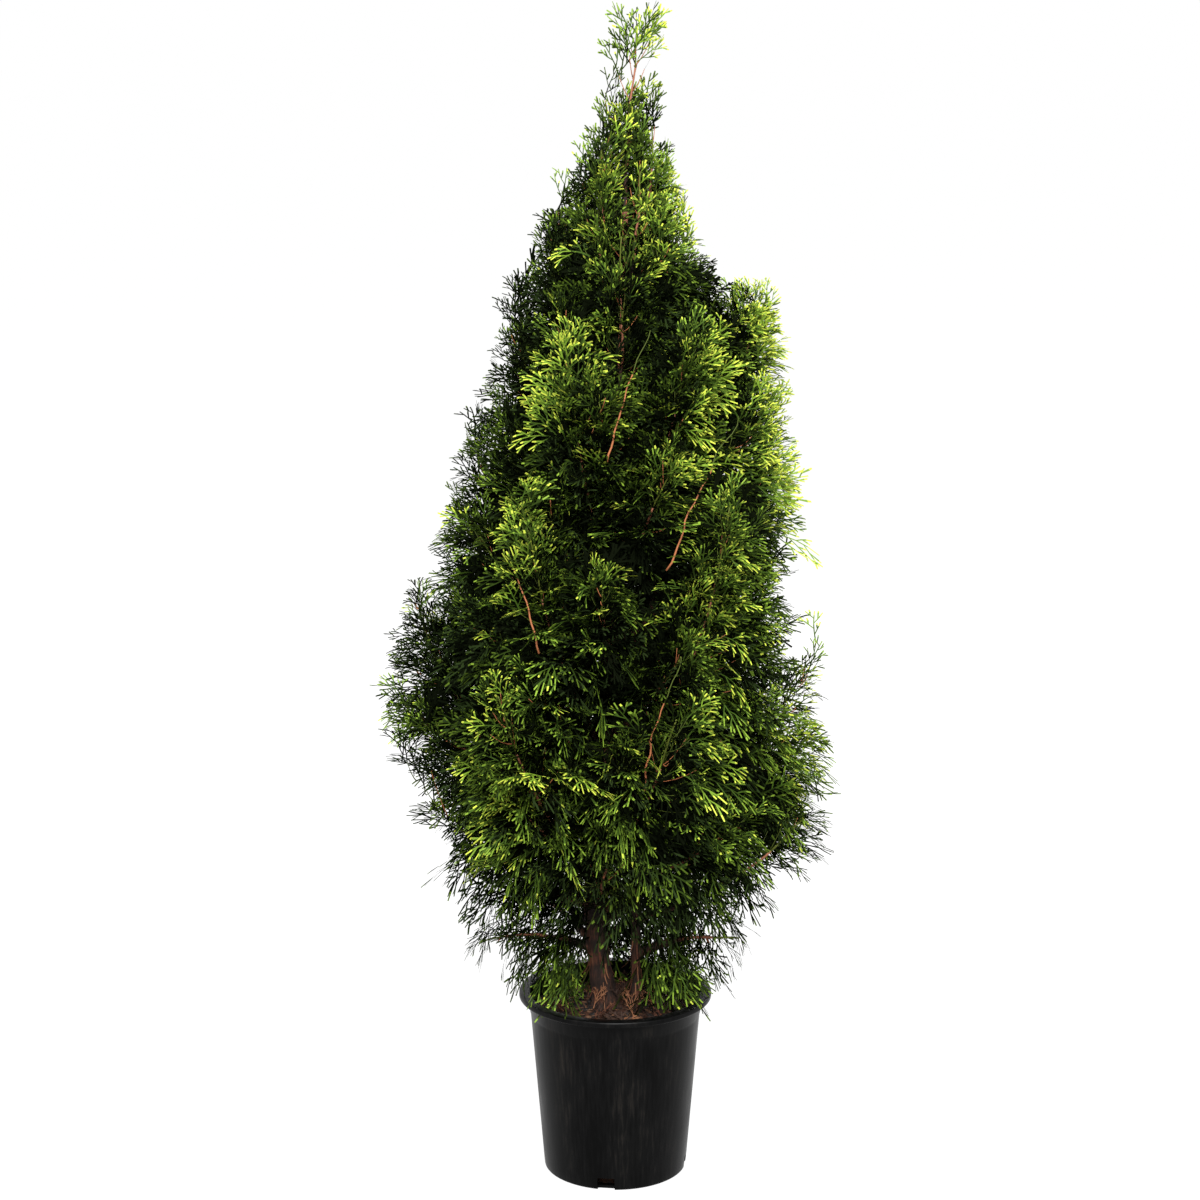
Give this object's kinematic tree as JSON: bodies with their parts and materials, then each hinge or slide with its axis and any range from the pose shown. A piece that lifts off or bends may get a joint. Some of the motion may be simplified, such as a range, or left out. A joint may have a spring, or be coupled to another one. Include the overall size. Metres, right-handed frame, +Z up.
{
  "type": "potted thuja",
  "caption": "Young upright thuja, broad below and pointed above, with boughs and masses of flat sprays, growing in a round tapered nursery pot.",
  "frame": {"origin": "centre of the pot's flat underside", "axes": "+Z up along the plant, +X to the right of its front, the front faces -Y"},
  "size_m": [0.6548, 0.5781, 1.6137],
  "materials": {
    "pot_plastic": "black moulded polypropylene, satin with fine scuffs",
    "compost": "composted bark with dead brown sprays on it, matte",
    "bark": "red-brown fibrous bark, matte",
    "foliage": "flat scale-leaf sprays, deep green with yellow-green tips"
  },
  "bodies": {
    "root": {"bough_broad_back_left": "bark", "bough_broad_back_right": "bark", "bough_broad_front": "bark", "bough_broad_front_left": "bark", "bough_broad_left": "bark", "bough_broad_right": "bark", "bough_low_back": "bark", "bough_low_back_left": "bark", "bough_low_back_right": "bark", "bough_low_front": "bark", "bough_low_left": "bark", "bough_low_right": "bark", "bough_middle_back": "bark", "bough_middle_front_left": "bark", "bough_middle_front_right": "bark", "bough_middle_left": "bark", "bough_middle_right": "bark", "bough_skirt_back_left": "bark", "bough_skirt_back_right": "bark", "bough_skirt_left": "bark", "bough_skirt_right": "bark", "bough_upper_back": "bark", "bough_upper_front_left": "bark", "bough_upper_front_right": "bark", "bough_upper_left": "bark", "foliage_broad_back_left": "foliage", "foliage_broad_back_right": "foliage", "foliage_broad_front": "foliage", "foliage_broad_front_left": "foliage", "foliage_broad_left": "foliage", "foliage_broad_right": "foliage", "foliage_crown_tip": "foliage", "foliage_low_back": "foliage", "foliage_low_back_left": "foliage", "foliage_low_back_right": "foliage", "foliage_low_front": "foliage", "foliage_low_left": "foliage", "foliage_low_right": "foliage", "foliage_middle_back": "foliage", "foliage_middle_front_left": "foliage", "foliage_middle_front_right": "foliage", "foliage_middle_left": "foliage", "foliage_middle_right": "foliage", "foliage_shoulder_back": "foliage", "foliage_shoulder_front": "foliage", "foliage_shoulder_left": "foliage", "foliage_shoulder_right": "foliage", "foliage_skirt_back_left": "foliage", "foliage_skirt_back_right": "foliage", "foliage_skirt_left": "foliage", "foliage_skirt_right": "foliage", "foliage_upper_back": "foliage", "foliage_upper_front_left": "foliage", "foliage_upper_front_right": "foliage", "foliage_upper_left": "foliage", "foliage_upper_right": "foliage", "pot": "pot_plastic", "second_stem": "bark", "soil": "compost", "trunk": "bark"}
  },
  "joints": []
}
